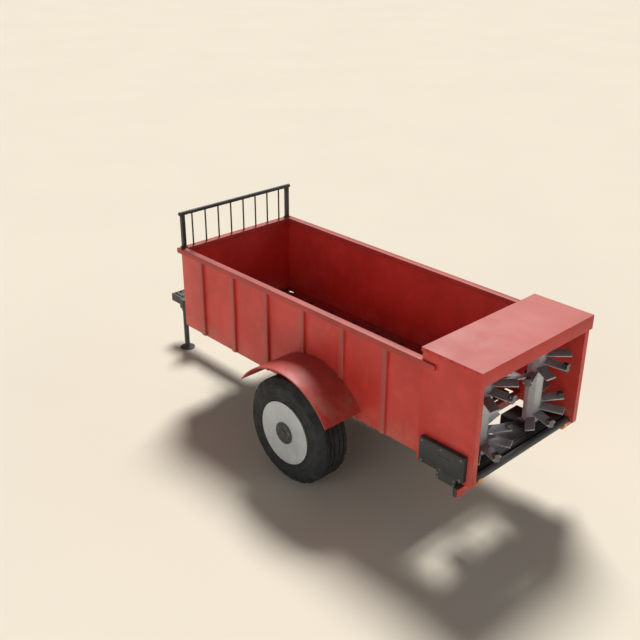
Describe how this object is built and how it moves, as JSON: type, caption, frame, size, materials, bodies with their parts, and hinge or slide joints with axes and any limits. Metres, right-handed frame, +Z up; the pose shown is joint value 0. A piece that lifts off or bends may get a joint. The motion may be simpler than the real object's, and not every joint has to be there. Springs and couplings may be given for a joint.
{
  "type": "manure spreader",
  "caption": "Single-axle farm spreader with a high open box, floor conveyors, vertical beaters under a rear hood, front guard, fenders, drawbar and parking jack.",
  "frame": {"origin": "on the ground under the middle of the whole machine's bounding box", "axes": "+X forward to the hitch, +Y to the machine's left, +Z up"},
  "size_m": [5.6086, 2.536, 2.2328],
  "materials": {
    "red_paint": "semi-gloss red paint, lightly weathered",
    "red_rail_paint": "semi-gloss darker red paint, worn along the top edge",
    "red_fender_paint": "semi-gloss red paint with road dust",
    "dark_grey_paint": "satin dark grey paint",
    "beater_steel": "worn bare steel",
    "tyre_rubber": "matt black rubber",
    "rim_paint": "satin pale grey paint",
    "worn_floor_steel": "worn steel",
    "lamp_red": "clear red lens plastic",
    "marker_amber": "amber plastic"
  },
  "bodies": {
    "frame": {"side_wall_left": "red_paint", "side_wall_right": "red_paint", "front_wall": "red_paint", "top_rail": "red_rail_paint", "floor_plate": "red_paint", "front_guard": "dark_grey_paint", "housing_side_left": "red_paint", "housing_side_right": "red_paint", "hood": "red_paint", "beater_bed": "dark_grey_paint", "beater_gearbox": "dark_grey_paint", "beater_top_beam": "dark_grey_paint", "rear_cross_tube": "dark_grey_paint", "side_marker_left": "marker_amber", "side_marker_right": "marker_amber", "drive_case": "dark_grey_paint", "drive_motor": "dark_grey_paint", "tail_lamp_housing_left": "dark_grey_paint", "tail_lamp_housing_right": "dark_grey_paint", "tail_lamp_lens_left": "lamp_red", "tail_lamp_lens_right": "lamp_red", "fender_left": "red_fender_paint", "fender_right": "red_fender_paint", "axle": "dark_grey_paint", "axle_seat_left": "dark_grey_paint", "axle_seat_right": "dark_grey_paint", "chassis_frame": "dark_grey_paint", "front_beam": "dark_grey_paint", "drawbar": "dark_grey_paint", "tow_block": "dark_grey_paint", "jack_sleeve": "dark_grey_paint", "conveyor_left": "worn_floor_steel", "conveyor_right": "worn_floor_steel", "conveyor_shaft_front": "dark_grey_paint", "conveyor_shaft_rear": "dark_grey_paint", "drive_tube": "dark_grey_paint"},
    "wheel_left": {"tyre_left": "tyre_rubber", "wheel_rim_left": "rim_paint", "wheel_hub_left": "dark_grey_paint"},
    "wheel_right": {"tyre_right": "tyre_rubber", "wheel_rim_right": "rim_paint", "wheel_hub_right": "dark_grey_paint"},
    "beater_left": {"beater_left": "beater_steel"},
    "beater_right": {"beater_right": "beater_steel"},
    "jack": {"jack_leg": "dark_grey_paint"}
  },
  "joints": [
    {"name": "wheel_left_spin", "type": "hinge", "parent": "frame", "child": "wheel_left", "pos_m": [-0.7314, 0.995, 0.565], "axis": [0, 1, 0], "continuous": true},
    {"name": "wheel_right_spin", "type": "hinge", "parent": "frame", "child": "wheel_right", "pos_m": [-0.7314, -0.995, 0.565], "axis": [0, 1, 0], "continuous": true},
    {"name": "beater_left_spin", "type": "hinge", "parent": "frame", "child": "beater_left", "pos_m": [-2.496, 0.4105, 0.876], "axis": [0, 0, 1], "continuous": true},
    {"name": "beater_right_spin", "type": "hinge", "parent": "frame", "child": "beater_right", "pos_m": [-2.496, -0.4105, 0.876], "axis": [0, 0, 1], "continuous": true},
    {"name": "jack_slide", "type": "slide", "parent": "frame", "child": "jack", "axis": [0, 0, 1], "range_m": [0, 0.085]}
  ],
  "couplings": [
    {"joint": "beater_right_spin", "follows": "beater_left_spin", "ratio": -1}
  ]
}
